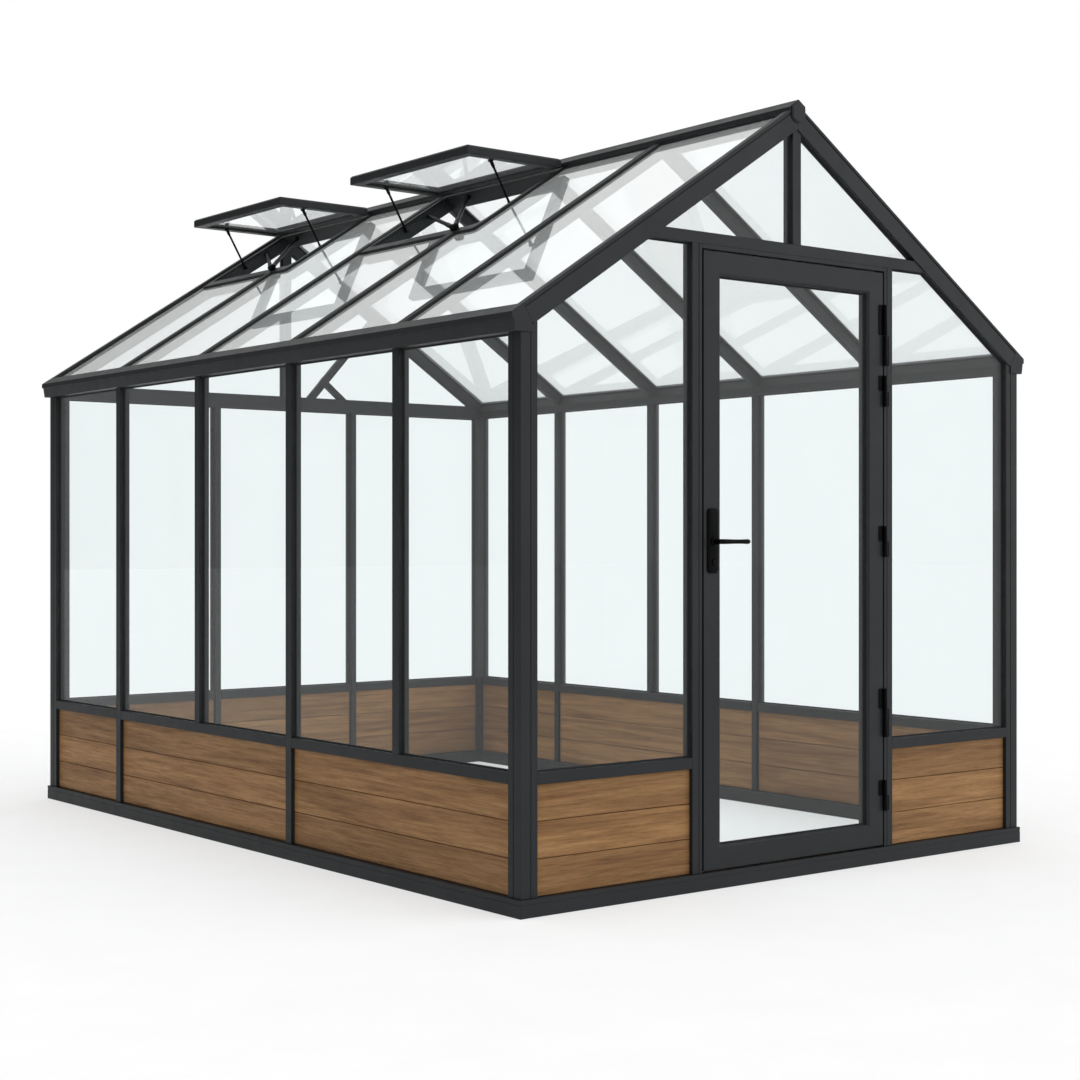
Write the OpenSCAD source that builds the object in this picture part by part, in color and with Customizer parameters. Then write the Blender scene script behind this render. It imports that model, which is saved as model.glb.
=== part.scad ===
// Glazed garden greenhouse: a dark metal frame on low boarded walls, with a
// full-height glass door in the front gable and two propped roof vents.
// X runs across the front gable, Y from the door to the back, Z up.
// The origin is on the ground, in the middle of the base.

/* [House] */
// Width across the gables, outside the base rails
house_w = 2300; // [2100:50:2500]
// Length along the ridge, outside the base rails
house_l = 3300; // [3000:100:3900]
// Slope of the roof in degrees
pitch = 33; // [31:1:35]
// Height of the outer top edge of the eaves
eave_z = 1762; // [1700:10:1850]
// How far the eaves stand out past the base
eave_out = 28; // [20:1:40]

/* [Base and low walls] */
// Height of the base rails
base_h = 54; // [45:1:70]
// Depth of the base rails from outside to inside
base_d = 60; // [50:1:70]
// How far the wall frame stands in from the base's outer face
inset = 8; // [5:1:12]
// Top of the sill rails
sill_top = 420; // [380:5:480]
// Height of a sill rail
sill_h = 35; // [30:1:40]
// Thickness of a boarded panel
panel_t = 20; // [15:1:25]
// How far a boarded panel lies behind the frame's outer face
panel_in = 14; // [10:1:18]

/* [Posts and glass] */
// Width of a wall post
post_w = 38; // [34:1:42]
// Depth of a wall post
post_d = 45; // [40:1:50]
// Side of a square corner post
corner_w = 62; // [56:1:70]
// Thickness of the glass
glass_t = 4; // [4:1:6]
// How far the glass lies behind the frame's outer face
glass_in = 18; // [14:1:22]

/* [Roof] */
// Depth of a roof bar, square to the slope
bar_d = 58; // [50:1:60]
// Depth of a gable rafter, square to the slope
rafter_d = 70; // [64:1:76]
// How far a gable rafter stands proud of the gable posts
rafter_out = 4; // [2:1:20]
// How far a gable rafter reaches in from the gable's outer face
rafter_back = 24; // [23:1:40]
// Thickness of the ridge cap
cap_t = 14; // [10:1:18]
// Slope distance from the eave edge to the sill of a vent
vent_sill = 860; // [800:10:900]
// Slope distance from the eave edge to the hinge line of a vent
vent_hinge = 1335; // [1300:5:1340]
// How far a vent is propped above level, in degrees
vent_lift = 0; // [-5:1:10]

/* [Door] */
// Clear width between the door jambs
door_w = 848; // [800:4:900]
// Height of the door leaf's top edge
door_top = 2010; // [1950:10:2020]
// Gap round the door leaf
door_gap = 7; // [6:1:9]
// Width of the leaf's stiles and rails
stile_w = 75; // [65:1:85]
// Height of the handle's spindle
handle_z = 1095; // [1000:5:1150]

/* [Hidden] */
$fn = 48;
bays = 5;
bay = house_l / bays;
hw = house_w / 2;
hl = house_l / 2;
wall_x = hw - inset;
wall_y = hl - inset;
front_y = -wall_y;
eave_x = hw + eave_out;
eave_bottom = 1706;
tp = tan(pitch);
ridge_z = eave_z + eave_x * tp;
slope_l = eave_x / cos(pitch);
lip_h = 18;
lip_d = 6;
eave_foot = 24;
bar_start = 50;
bar_drop = 4;
ridge_half = 42;
bar_end = slope_l - ridge_half;
gable_y = wall_y + rafter_out;
gable_in = wall_y - post_d;
rafter_in = wall_y - rafter_back;
jamb_w = 41;
jamb_x = door_w / 2;
leaf_clear = 6;
header_bottom = 2030;
header_h = 36;
header_top = header_bottom + header_h;
tie_bottom = 1700;
tie_h = 58;
back_post_x = 360;
sill_bottom = sill_top - sill_h;
cap_half = 36;
frame_grey = [0.24, 0.25, 0.26];
dark_grey = [0.12, 0.12, 0.13];
wood_brown = [0.55, 0.40, 0.27];
glass_tint = [0.85, 0.93, 0.93, 0.35];

// Door leaf and its hinges
leaf_x = jamb_x - door_gap;
leaf_bottom = base_h + leaf_clear;
leaf_d = 43;
pin_x = jamb_x - door_gap / 2;
pin_y = front_y - 8;
pin_r = 3;
barrel_r = 7;
plate_t = 3;
handle_x = -leaf_x + stile_w / 2;
spindle_r = 8;
running = 0.05;
pin_play = 0.5;
flap_w = 25;

// Lever handle
plate_w = 48;
plate_h = 205;
plate_up = 105;
plate_d = 9;
lever_l = 118;
lever_r = 8;
neck = 42;

// Roof vents: bays that have one, counted from the front, and their frames
vent_bays = [2, 4];
vent_past = 120;
ring_w = 26;
ring_sill = 50;
ring_gap = 30;
sash_over = 40;
sash_side = 16;
sash_bar = 46;
sash_t = 34;
vent_pane_up = 10;
stay_r = 5;
stay_foot = 1079;
stay_head = 297;
opener_r = 8;
pivot_r = 14;
pivot_w = 28;
opener_side = 1217;
opener_past = 460;

// Gap that keeps neighbouring pieces of the roof from overlapping
fit = 0.3;
// How far a cut runs past the piece it goes through
over = 1;

// Ridge end caps
end_half = 31;
end_h = 76;
end_t = 6;
end_curve = end_half / 2;
end_r = end_half * 1.25;

// Brace in the back gable: foot and head, as [x, z], and its short second leg
brace_foot = [127, 1758];
brace_head = [471, 2138];
brace_leg = [300, 1758];
brace_fork = [208, 1832];
brace_w = 33;
leg_w = 28;
brace_d = 22;

// Lower end, upper end and split height of each hinge
hinges = [[177, 282, 229], [428, 594, 525], [1042, 1148, 1095], [1555, 1660, 1607], [1694, 1901, 1797]];

// Height of the gable rafter's underside at a distance x from the middle
function under_z(x) = ridge_z - rafter_d / cos(pitch) - x * tp;
// Point on the left slope at u up the slope and n off it, as [x, z]
function slope_pt(u, n) = [-eave_x + u * cos(pitch) - n * sin(pitch),
                           eave_z + u * sin(pitch) + n * cos(pitch)];
// Middles of the wall posts along the length
function post_ys() = [for (i = [1 : bays - 1]) -hl + i * bay];
// Half-width at which a level line at height z meets the rafter's underside
function under_x(z) = (under_z(0) - z) / tp;
// Clear ends of a bay along the house
function bay_a(i) = i == 0 ? -rafter_in : -hl + i * bay + post_w / 2;
function bay_b(i) = i == bays - 1 ? rafter_in : -hl + (i + 1) * bay - post_w / 2;
// Ends of a vent's frame along the house, and the middle of the bar that it cuts
function cut_y(i) = -hl + i * bay;
function ring_y0(i) = cut_y(i) - vent_past - post_w / 2;
function ring_y1(i) = min(bay_b(i), gable_in) - ring_gap;

module both_sides() {
    children();
    mirror([1, 0, 0]) children();
}

module both_ends() {
    children();
    mirror([0, 1, 0]) children();
}

// Frame of the left slope: X up the slope, Y along the house, Z off the slope
module on_slope() {
    translate([-eave_x, 0, eave_z]) rotate([0, -pitch, 0]) children();
}

// Slab of a profile drawn across the house, from y0 to y1
module across(y0, y1) {
    translate([0, y1, 0]) rotate([90, 0, 0]) linear_extrude(y1 - y0) children();
}

module block(x0, x1, y0, y1, z0, z1) {
    translate([x0, y0, z0]) cube([x1 - x0, y1 - y0, z1 - z0]);
}

module rod(p, q, r) {
    v = q - p;
    length = norm(v);
    translate(p)
        rotate([0, acos(v[2] / length), atan2(v[1], v[0])])
            cylinder(h = length, r = r);
}

// ---- Base, posts and rails ----

module base_rail_front() {
    color(frame_grey) block(-hw, hw, -hl, -hl + base_d, 0, base_h);
}

module base_rail_back() {
    color(frame_grey) block(-hw, hw, hl - base_d, hl, 0, base_h);
}

module base_rail_left() {
    color(frame_grey) block(-hw, -hw + base_d, -hl + base_d, hl - base_d, 0, base_h);
}

module base_rail_right() {
    color(frame_grey) block(hw - base_d, hw, -hl + base_d, hl - base_d, 0, base_h);
}

// A corner post with the wedge that fills in under the gable rafter
module corner_post() {
    inner = wall_x - corner_w;
    eave_in = -slope_pt(bar_start, -bar_drop - bar_d)[0];
    block(-wall_x, -inner, -wall_y, -wall_y + corner_w, base_h, eave_bottom);
    across(-wall_y, -gable_in)
        polygon([[-eave_in, eave_bottom - over], [-inner, eave_bottom - over], [-inner, under_z(inner)],
                 slope_pt(bar_start, -rafter_d), slope_pt(bar_start, -bar_drop - bar_d)]);
}

module corner_posts() {
    color(frame_grey) both_sides() both_ends() corner_post();
}

module side_posts() {
    for (i = [0 : bays - 2]) {
        y = post_ys()[i];
        foot = i % 2 == 0 ? sill_top : base_h;
        block(-wall_x, -wall_x + post_d, y - post_w / 2, y + post_w / 2, foot, eave_bottom);
    }
}

module left_wall_posts() {
    color(frame_grey) side_posts();
}

module right_wall_posts() {
    color(frame_grey) mirror([1, 0, 0]) side_posts();
}

module back_wall_posts() {
    color(frame_grey) both_sides()
        block(back_post_x - post_w / 2, back_post_x + post_w / 2, wall_y - post_d, wall_y,
              base_h, tie_bottom);
}

module door_jambs() {
    color(frame_grey) both_sides()
        block(jamb_x, jamb_x + jamb_w, front_y, front_y + post_d, base_h, header_bottom);
}

module door_head() {
    color(frame_grey)
        block(-jamb_x, jamb_x, front_y, front_y + post_d, door_top + leaf_clear, header_bottom);
}

module front_header() {
    color(frame_grey) across(-wall_y, -gable_in)
        polygon([[-under_x(header_bottom), header_bottom], [under_x(header_bottom), header_bottom],
                 [under_x(header_top), header_top], [-under_x(header_top), header_top]]);
}

module back_tie_rail() {
    inner = wall_x - corner_w;
    top = tie_bottom + tie_h;
    color(frame_grey) across(gable_in, wall_y)
        polygon([[-inner, tie_bottom], [inner, tie_bottom], [inner, under_z(inner)], [under_x(top), top],
                 [-under_x(top), top], [-inner, under_z(inner)]]);
}

// Flat bar between two points of the back gable, given as [x, z]
module gable_bar(p, q, w) {
    v = q - p;
    translate([p[0], wall_y - post_d, p[1]]) rotate([0, -atan2(v[1], v[0]), 0])
        block(-w, norm(v) + w, 0, brace_d, -w / 2, w / 2);
}

// Diagonal brace with its short leg, trimmed to the tie rail and the rafter
module back_brace() {
    near = post_w / 2 + fit;
    far = wall_x - corner_w;
    low = tie_bottom + tie_h + fit;
    color(frame_grey) intersection() {
        union() {
            gable_bar(brace_foot, brace_head, brace_w);
            gable_bar(brace_leg, brace_fork, leg_w);
        }
        across(0, wall_y)
            polygon([[near, low], [far, low], [far, under_z(far) - fit], [near, under_z(near) - fit]]);
    }
}

module king_post(foot) {
    half = post_w / 2;
    across(-wall_y, -gable_in)
        polygon([[-half, foot], [half, foot], [half, under_z(half)], [0, under_z(0)],
                 [-half, under_z(half)]]);
}

module king_posts() {
    color(frame_grey) {
        king_post(header_top);
        mirror([0, 1, 0]) king_post(tie_bottom + tie_h);
    }
}

// ---- Sill rails and boarded panels ----

// Ends of the boarded panels along a side wall: one bay, then two, then two
function side_stops() = [-wall_y + corner_w, post_ys()[1], post_ys()[3], wall_y - corner_w];

module side_sills() {
    for (i = [0 : 2]) {
        a = side_stops()[i] + (i > 0 ? post_w / 2 : 0);
        b = side_stops()[i + 1] - (i < 2 ? post_w / 2 : 0);
        block(-wall_x, -wall_x + post_d, a, b, sill_bottom, sill_top);
    }
}

module side_boards() {
    for (i = [0 : 2]) {
        a = side_stops()[i] + (i > 0 ? post_w / 2 : 0);
        b = side_stops()[i + 1] - (i < 2 ? post_w / 2 : 0);
        block(-wall_x + panel_in, -wall_x + panel_in + panel_t, a, b, base_h, sill_bottom);
    }
}

module left_sill_rails() {
    color(frame_grey) side_sills();
}

module right_sill_rails() {
    color(frame_grey) mirror([1, 0, 0]) side_sills();
}

module left_wall_boards() {
    color(wood_brown) side_boards();
}

module right_wall_boards() {
    color(wood_brown) mirror([1, 0, 0]) side_boards();
}

// Ends of the back wall's three fields
function back_stops() = [-wall_x + corner_w, -back_post_x, back_post_x, wall_x - corner_w];

module gable_sill_rails() {
    color(frame_grey) {
        both_sides()
            block(jamb_x + jamb_w, wall_x - corner_w, front_y, front_y + post_d, sill_bottom, sill_top);
        for (i = [0 : 2]) {
            a = back_stops()[i] + (i > 0 ? post_w / 2 : 0);
            b = back_stops()[i + 1] - (i < 2 ? post_w / 2 : 0);
            block(a, b, wall_y - post_d, wall_y, sill_bottom, sill_top);
        }
    }
}

module gable_wall_boards() {
    near = panel_in;
    far = panel_in + panel_t;
    color(wood_brown) {
        both_sides()
            block(jamb_x + jamb_w, wall_x - corner_w, front_y + near, front_y + far, base_h, sill_bottom);
        for (i = [0 : 2]) {
            a = back_stops()[i] + (i > 0 ? post_w / 2 : 0);
            b = back_stops()[i + 1] - (i < 2 ? post_w / 2 : 0);
            block(a, b, wall_y - far, wall_y - near, base_h, sill_bottom);
        }
    }
}

// ---- Roof frame ----

module eave_rail() {
    top = slope_pt(bar_start, 0);
    seat = slope_pt(bar_start, -bar_drop - bar_d);
    across(-gable_y, gable_y)
        polygon([[-eave_x, eave_z - lip_h], [-eave_x + lip_d, eave_z - lip_h],
                 [-wall_x - eave_foot, eave_bottom], [seat[0], eave_bottom], seat, top,
                 [-eave_x, eave_z]]);
}

module eave_rails() {
    color(frame_grey) both_sides() eave_rail();
}

// One sloping half of a gable frame, cut upright at the ridge
module gable_rafter() {
    across(-gable_y, -rafter_in)
        polygon([slope_pt(bar_start, 0), slope_pt(bar_start, -rafter_d),
                 [0, under_z(0)], [0, ridge_z]]);
}

module gable_rafters() {
    color(frame_grey) both_ends() {
        gable_rafter();
        mirror([1, 0, 0]) gable_rafter();
    }
}

// Roof bars of one slope; a bar below a vent frame ends there where vents is true
module roof_bars(vents) {
    on_slope() for (i = [1 : bays - 1]) {
        y = post_ys()[i - 1];
        cut = vents && len([for (v = vent_bays) if (v == i) v]) > 0;
        block(bar_start, cut ? vent_sill - fit : bar_end - fit, y - post_w / 2, y + post_w / 2,
              -bar_drop - bar_d, -bar_drop);
    }
}

module left_roof_bars() {
    color(frame_grey) roof_bars(true);
}

module right_roof_bars() {
    color(frame_grey) mirror([1, 0, 0]) roof_bars(false);
}

module ridge_beam() {
    top = slope_pt(bar_end, 0);
    foot = slope_pt(bar_end, -bar_drop - bar_d);
    color(frame_grey) across(-rafter_in, rafter_in)
        polygon([foot, [-foot[0], foot[1]], [-top[0], top[1]], [0, ridge_z], top]);
}

module ridge_cap() {
    side = ridge_z - cap_half * tp + fit;
    top = ridge_z + fit;
    color(frame_grey) across(-gable_y, gable_y)
        polygon([[-cap_half, side], [0, top], [cap_half, side],
                 [cap_half, side + cap_t], [0, top + cap_t], [-cap_half, side + cap_t]]);
}

// Shield-shaped plate that covers each end of the ridge
module ridge_end_caps() {
    top = ridge_z + cap_t;
    shoulder = top - end_half * tp;
    chin = top - end_h;
    color(frame_grey) both_ends() across(-gable_y - end_t, -gable_y)
        union() {
            polygon([[-end_half, chin + end_curve], [end_half, chin + end_curve], [end_half, shoulder],
                     [0, top], [-end_half, shoulder]]);
            intersection() {
                translate([0, chin + end_r]) circle(r = end_r);
                translate([-end_half, chin]) square([2 * end_half, end_curve]);
            }
        }
}

// ---- Glass ----

module side_panes() {
    for (i = [0 : bays - 1]) {
        a = i == 0 ? -wall_y + corner_w : -hl + i * bay + post_w / 2;
        b = i == bays - 1 ? wall_y - corner_w : -hl + (i + 1) * bay - post_w / 2;
        block(-wall_x + glass_in, -wall_x + glass_in + glass_t, a, b, sill_top, eave_bottom);
    }
}

module left_wall_glass() {
    color(glass_tint) side_panes();
}

module right_wall_glass() {
    color(glass_tint) mirror([1, 0, 0]) side_panes();
}

module gable_sheet() {
    across(-wall_y + glass_in, -wall_y + glass_in + glass_t) children();
}

module front_wall_glass() {
    inner = wall_x - corner_w;
    outer = jamb_x + jamb_w;
    half = post_w / 2;
    color(glass_tint) both_sides() {
        gable_sheet()
            polygon([[-inner, sill_top], [-outer, sill_top], [-outer, header_bottom],
                     [-under_x(header_bottom), header_bottom], [-inner, under_z(inner)]]);
        gable_sheet()
            polygon([[-under_x(header_top), header_top], [-half, header_top], [-half, under_z(half)]]);
    }
}

module back_wall_glass() {
    half = post_w / 2;
    top = tie_bottom + tie_h;
    color(glass_tint) mirror([0, 1, 0]) {
        for (i = [0 : 2]) {
            a = back_stops()[i] + (i > 0 ? half : 0);
            b = back_stops()[i + 1] - (i < 2 ? half : 0);
            block(a, b, -wall_y + glass_in, -wall_y + glass_in + glass_t, sill_top, tie_bottom);
        }
        both_sides() gable_sheet()
            polygon([[-under_x(top), top], [-half, top], [-half, under_z(half)]]);
    }
}

// Panes of one slope; where vents is true they are cut round the vent frames
module roof_panes(vents) {
    on_slope() for (i = [0 : bays - 1]) difference() {
        block(bar_start, bar_end - fit, bay_a(i), bay_b(i), -glass_in, -glass_in + glass_t);
        if (vents) for (v = vent_bays)
            block(vent_sill - fit, slope_l, ring_y0(v) - fit, ring_y1(v) + fit, -glass_in - over, 0);
    }
}

module left_roof_glass() {
    color(glass_tint) roof_panes(true);
}

module right_roof_glass() {
    color(glass_tint) mirror([1, 0, 0]) roof_panes(false);
}

// ---- Roof vents, propped open ----

// Frames let into the roof, which carry the sashes
module vent_frames() {
    color(frame_grey) on_slope() for (i = vent_bays) difference() {
        block(vent_sill, bar_end - fit, ring_y0(i), ring_y1(i), -bar_drop - bar_d, -bar_drop);
        block(vent_sill + ring_sill, vent_hinge, ring_y0(i) + ring_w, ring_y1(i) - ring_w,
              -bar_drop - bar_d - over, 0);
    }
}

// Frame of one open vent: X from the hinge out, Z up off the sash
module on_vent() {
    on_slope() translate([vent_hinge, 0, 0])
        mirror([1, 0, 0]) rotate([0, -pitch - vent_lift, 0]) children();
}

function sash_reach() = vent_hinge - vent_sill - sash_over;

// Sash outline drawn in by an amount on every side, from z0 to z1
module sash_block(i, inwards, z0, z1) {
    block(inwards, sash_reach() - inwards, ring_y0(i) - sash_side + inwards,
          ring_y1(i) + sash_side - inwards, z0, z1);
}

module vent_sashes() {
    color(frame_grey) for (i = vent_bays) on_vent() difference() {
        sash_block(i, 0, 0, sash_t);
        sash_block(i, sash_bar, -over, sash_t + over);
    }
}

module vent_glass() {
    color(glass_tint) for (i = vent_bays) on_vent()
        sash_block(i, sash_bar, vent_pane_up, vent_pane_up + glass_t);
}

// Height of the sashes' undersides
function sash_z() = slope_pt(vent_hinge, 0)[1] - fit;

// Space that the vent frames take up, with a little clearance
module vent_frame_space(i) {
    on_slope() difference() {
        block(0, slope_l, -hl, hl, -rafter_d, -bar_drop + fit);
        block(vent_sill + ring_sill + fit, vent_hinge - fit, ring_y0(i) + ring_w + fit,
              ring_y1(i) - ring_w - fit, -rafter_d - over, 0);
    }
}

// Space that the open sash and its pane take up
module vent_sash_space() {
    on_vent() block(0, sash_reach(), -hl, hl, -fit, bar_d);
}

// Prop rods on both sides of each sash, from the flanks of its frame
module vent_stays() {
    low = slope_pt(stay_foot, -bar_d / 2);
    high = [slope_pt(vent_hinge, 0)[0] - stay_head, sash_z()];
    aside = ring_w + stay_r;
    color(dark_grey) for (i = vent_bays) for (y = [ring_y0(i) + aside, ring_y1(i) - aside])
        difference() {
            rod([low[0], y, low[1]], [high[0], y, high[1] + stay_r], stay_r);
            vent_frame_space(i);
            vent_sash_space();
        }
}

// Two opening arms from a pivot on the sill of each frame: to its side and to its top
module vent_openers() {
    foot = slope_pt(vent_sill + ring_sill / 2, pivot_r / 2);
    side = slope_pt(opener_side, -bar_d / 2);
    top = slope_pt(vent_hinge, -bar_d / 2);
    color(dark_grey) for (i = vent_bays) difference() {
        union() {
            translate([foot[0], cut_y(i), foot[1]]) rotate([90, 0, 0])
                cylinder(h = pivot_w, r = pivot_r, center = true);
            rod([foot[0], cut_y(i), foot[1]], [side[0], ring_y1(i) - ring_w, side[1]], opener_r);
            rod([foot[0], cut_y(i), foot[1]], [top[0], cut_y(i) + opener_past, top[1]], opener_r);
        }
        vent_frame_space(i);
        vent_sash_space();
    }
}

// ---- Door leaf ----

module door_stile(x) {
    block(x, x + stile_w, front_y, front_y + leaf_d, leaf_bottom, door_top);
}

module door_stiles() {
    color(frame_grey) {
        difference() {
            door_stile(-leaf_x);
            translate([handle_x, front_y - over, handle_z]) rotate([-90, 0, 0])
                cylinder(h = leaf_d + 2 * over, r = spindle_r + running);
        }
        door_stile(leaf_x - stile_w);
    }
}

module door_rails() {
    inner = leaf_x - stile_w;
    color(frame_grey) {
        block(-inner, inner, front_y, front_y + leaf_d, leaf_bottom, leaf_bottom + stile_w);
        block(-inner, inner, front_y, front_y + leaf_d, door_top - stile_w, door_top);
    }
}

module door_glass() {
    inner = leaf_x - stile_w;
    color(glass_tint)
        block(-inner, inner, front_y + glass_in, front_y + glass_in + glass_t,
              leaf_bottom + stile_w, door_top - stile_w);
}

// ---- Hinges: fixed knuckles with their pins, and knuckles on the leaf ----

module hinge_pins() {
    color(dark_grey) for (h = hinges) {
        translate([pin_x, pin_y, h[0]]) cylinder(h = h[2] - h[0] - pin_play, r = barrel_r);
        translate([pin_x, pin_y, h[0]]) cylinder(h = h[1] - h[0], r = pin_r);
        block(pin_x, pin_x + flap_w, front_y - plate_t, front_y, h[0], h[2] - pin_play);
    }
}

module hinge_knuckles() {
    color(dark_grey) for (h = hinges) difference() {
        union() {
            translate([pin_x, pin_y, h[2] + pin_play]) cylinder(h = h[1] - h[2] - pin_play, r = barrel_r);
            block(pin_x - flap_w, pin_x, front_y - plate_t, front_y, h[2] + pin_play, h[1]);
        }
        translate([pin_x, pin_y, h[0]]) cylinder(h = h[1] - h[0] + over, r = pin_r + running);
    }
}

// ---- Lever handle ----

module handle_plate(y0) {
    difference() {
        block(handle_x - plate_w / 2, handle_x + plate_w / 2, y0, y0 + plate_d,
              handle_z + plate_up - plate_h, handle_z + plate_up);
        translate([handle_x, y0 - over, handle_z]) rotate([-90, 0, 0])
            cylinder(h = plate_d + 2 * over, r = spindle_r + running);
    }
}

module handle_plates() {
    color(dark_grey) {
        handle_plate(front_y - plate_d);
        handle_plate(front_y + leaf_d);
    }
}

module door_handle() {
    out_y = front_y - neck;
    in_y = front_y + leaf_d + neck;
    color(dark_grey) {
        translate([handle_x, out_y - lever_r, handle_z]) rotate([-90, 0, 0])
            cylinder(h = in_y - out_y + 2 * lever_r, r = spindle_r);
        for (y = [out_y, in_y]) {
            translate([handle_x, y, handle_z]) rotate([0, 90, 0]) cylinder(h = lever_l, r = lever_r);
            translate([handle_x + lever_l, y, handle_z]) sphere(r = lever_r);
        }
    }
}

base_rail_front();
base_rail_back();
base_rail_left();
base_rail_right();
corner_posts();
left_wall_posts();
right_wall_posts();
back_wall_posts();
door_jambs();
door_head();
front_header();
back_tie_rail();
back_brace();
king_posts();
left_sill_rails();
right_sill_rails();
gable_sill_rails();
left_wall_boards();
right_wall_boards();
gable_wall_boards();
eave_rails();
gable_rafters();
left_roof_bars();
right_roof_bars();
ridge_beam();
ridge_cap();
ridge_end_caps();
left_wall_glass();
right_wall_glass();
front_wall_glass();
back_wall_glass();
left_roof_glass();
right_roof_glass();
vent_frames();
vent_sashes();
vent_glass();
vent_stays();
vent_openers();
door_stiles();
door_rails();
door_glass();
hinge_pins();
hinge_knuckles();
handle_plates();
door_handle();
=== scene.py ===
"""Looks of the glass greenhouse: extruded bars, planks, glass, vents, door and fittings.

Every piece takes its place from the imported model. Lengths are in metres and angles in degrees.
"""

import math
import random

import bmesh
import bpy
from mathutils import Matrix, Vector


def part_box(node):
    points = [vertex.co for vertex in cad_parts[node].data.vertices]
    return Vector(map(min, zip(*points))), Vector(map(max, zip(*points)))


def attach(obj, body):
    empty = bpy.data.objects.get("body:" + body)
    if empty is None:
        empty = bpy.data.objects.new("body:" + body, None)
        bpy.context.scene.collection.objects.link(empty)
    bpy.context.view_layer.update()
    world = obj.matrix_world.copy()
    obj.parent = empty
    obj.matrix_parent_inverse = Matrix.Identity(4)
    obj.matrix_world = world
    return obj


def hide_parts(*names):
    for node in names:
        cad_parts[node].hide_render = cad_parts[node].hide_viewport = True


SEED = 7

# Edge rounding
EDGE = 0.0012
EDGE_STEPS = 2
SOFT_ANGLE = math.radians(32)
FLAT_ANGLE = math.radians(1)
MERGE = 1e-5

# Grooves and steps of the extruded bars
GROOVE_W = 0.003
GROOVE_D = 0.002
SHOULDER = 0.024
WEB_IN = 0.006

# Glazing seals
SEAL_W = 0.005
SEAL_D = 0.005

# Roof vents: side and sill widths of the frames, and width of the sash bars
RING_W = 0.026
RING_SILL = 0.050
REBATE = 0.008
REBATE_D = 0.012
RIM = 0.046
CRISP = 0.001

# Planks
PLANKS = 3
PLANK_GAP = 0.0016
PLANK_GROOVE = 0.004
PLANK_ROUND = 0.0018
TONGUE = 0.45

RIGHT = Vector((1, 0, 0))
BACK = Vector((0, 1, 0))
UP = Vector((0, 0, 1))

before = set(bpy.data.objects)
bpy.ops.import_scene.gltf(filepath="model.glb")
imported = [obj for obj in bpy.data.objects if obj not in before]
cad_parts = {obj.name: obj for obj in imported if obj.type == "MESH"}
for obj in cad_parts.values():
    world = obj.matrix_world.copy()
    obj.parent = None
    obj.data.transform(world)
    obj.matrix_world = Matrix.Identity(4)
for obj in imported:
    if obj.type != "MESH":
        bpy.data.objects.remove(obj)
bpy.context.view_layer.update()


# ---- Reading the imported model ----


def islands(node):
    """The separate solids of a CAD node, each a list of triangles."""
    bm = bmesh.new()
    bm.from_mesh(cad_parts[node].data)
    bmesh.ops.remove_doubles(bm, verts=bm.verts, dist=MERGE)
    bm.faces.ensure_lookup_table()
    left = set(bm.faces)
    found = []
    while left:
        first = next(f for f in bm.faces if f in left)
        left.discard(first)
        group, reach = [first], [first]
        while reach:
            for v in reach.pop().verts:
                for f in v.link_faces:
                    if f in left:
                        left.discard(f)
                        group.append(f)
                        reach.append(f)
        found.append([[v.co.copy() for v in f.verts] for f in group])
    bm.free()
    return found


def span(solid, basis=Matrix.Identity(4)):
    """Lowest and highest corner of a solid, measured in a basis."""
    inverse = basis.inverted()
    points = [inverse @ p for face in solid for p in face]
    return (
        Vector(min(p[i] for p in points) for i in range(3)),
        Vector(max(p[i] for p in points) for i in range(3)),
    )


def turns(before, here, after):
    """Whether a path changes direction at a point."""
    u = Vector(here) - Vector(before)
    v = Vector(after) - Vector(here)
    return abs(u.x * v.y - u.y * v.x) > 1e-4 * u.length * v.length


def edge_loop(solid, basis):
    """Outline of a thin flat solid, whatever its triangles, from the edges of one side."""
    inverse = basis.inverted()
    count = {}
    for face in solid:
        flat = [inverse @ p for p in face]
        normal = (flat[1] - flat[0]).cross(flat[2] - flat[0])
        if normal.length < 1e-12 or normal.normalized().z < 0.999:
            continue
        keys = [(round(p.x, 5), round(p.y, 5)) for p in flat]
        for i, key in enumerate(keys):
            count[(key, keys[(i + 1) % len(keys)])] = True
    follow = {a: b for a, b in count if (b, a) not in count}
    start = min(follow)
    loop, at = [start], follow[start]
    while at != start:
        loop.append(at)
        at = follow[at]
    return [p for i, p in enumerate(loop) if turns(loop[i - 1], p, loop[(i + 1) % len(loop)])]


def basis_of(origin, a, b, t):
    """Matrix whose columns are the axes a, b and t and the origin."""
    m = Matrix.Identity(4)
    for column, axis in enumerate((a, b, t, origin)):
        for row in range(3):
            m[row][column] = axis[row]
    return m


# Outward side of each wall: the way in, and the way along
WALLS = {
    "left": (RIGHT, BACK),
    "right": (-RIGHT, BACK),
    "front": (BACK, RIGHT),
    "back": (-BACK, RIGHT),
}

pane = max(islands("right_roof_glass")[0], key=lambda f: (f[1] - f[0]).cross(f[2] - f[0]).length)
roof_normal = (pane[1] - pane[0]).cross(pane[2] - pane[0]).normalized()
PITCH = math.acos(abs(roof_normal.z))
EAVE_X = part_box("eave_rails")[1].x
RIDGE_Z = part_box("gable_rafters")[1].z
EAVE_Z = RIDGE_Z - EAVE_X * math.tan(PITCH)
SLOPE = EAVE_X / math.cos(PITCH)


def slope_basis(side):
    """Basis of a slope: up the slope, along the house and off the slope; side is -1 or 1."""
    up = Vector((-side * math.cos(PITCH), 0, math.sin(PITCH)))
    off = Vector((side * math.sin(PITCH), 0, math.cos(PITCH)))
    return basis_of(Vector((side * EAVE_X, 0, EAVE_Z)), up, BACK, off)


# ---- Building meshes ----


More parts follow.
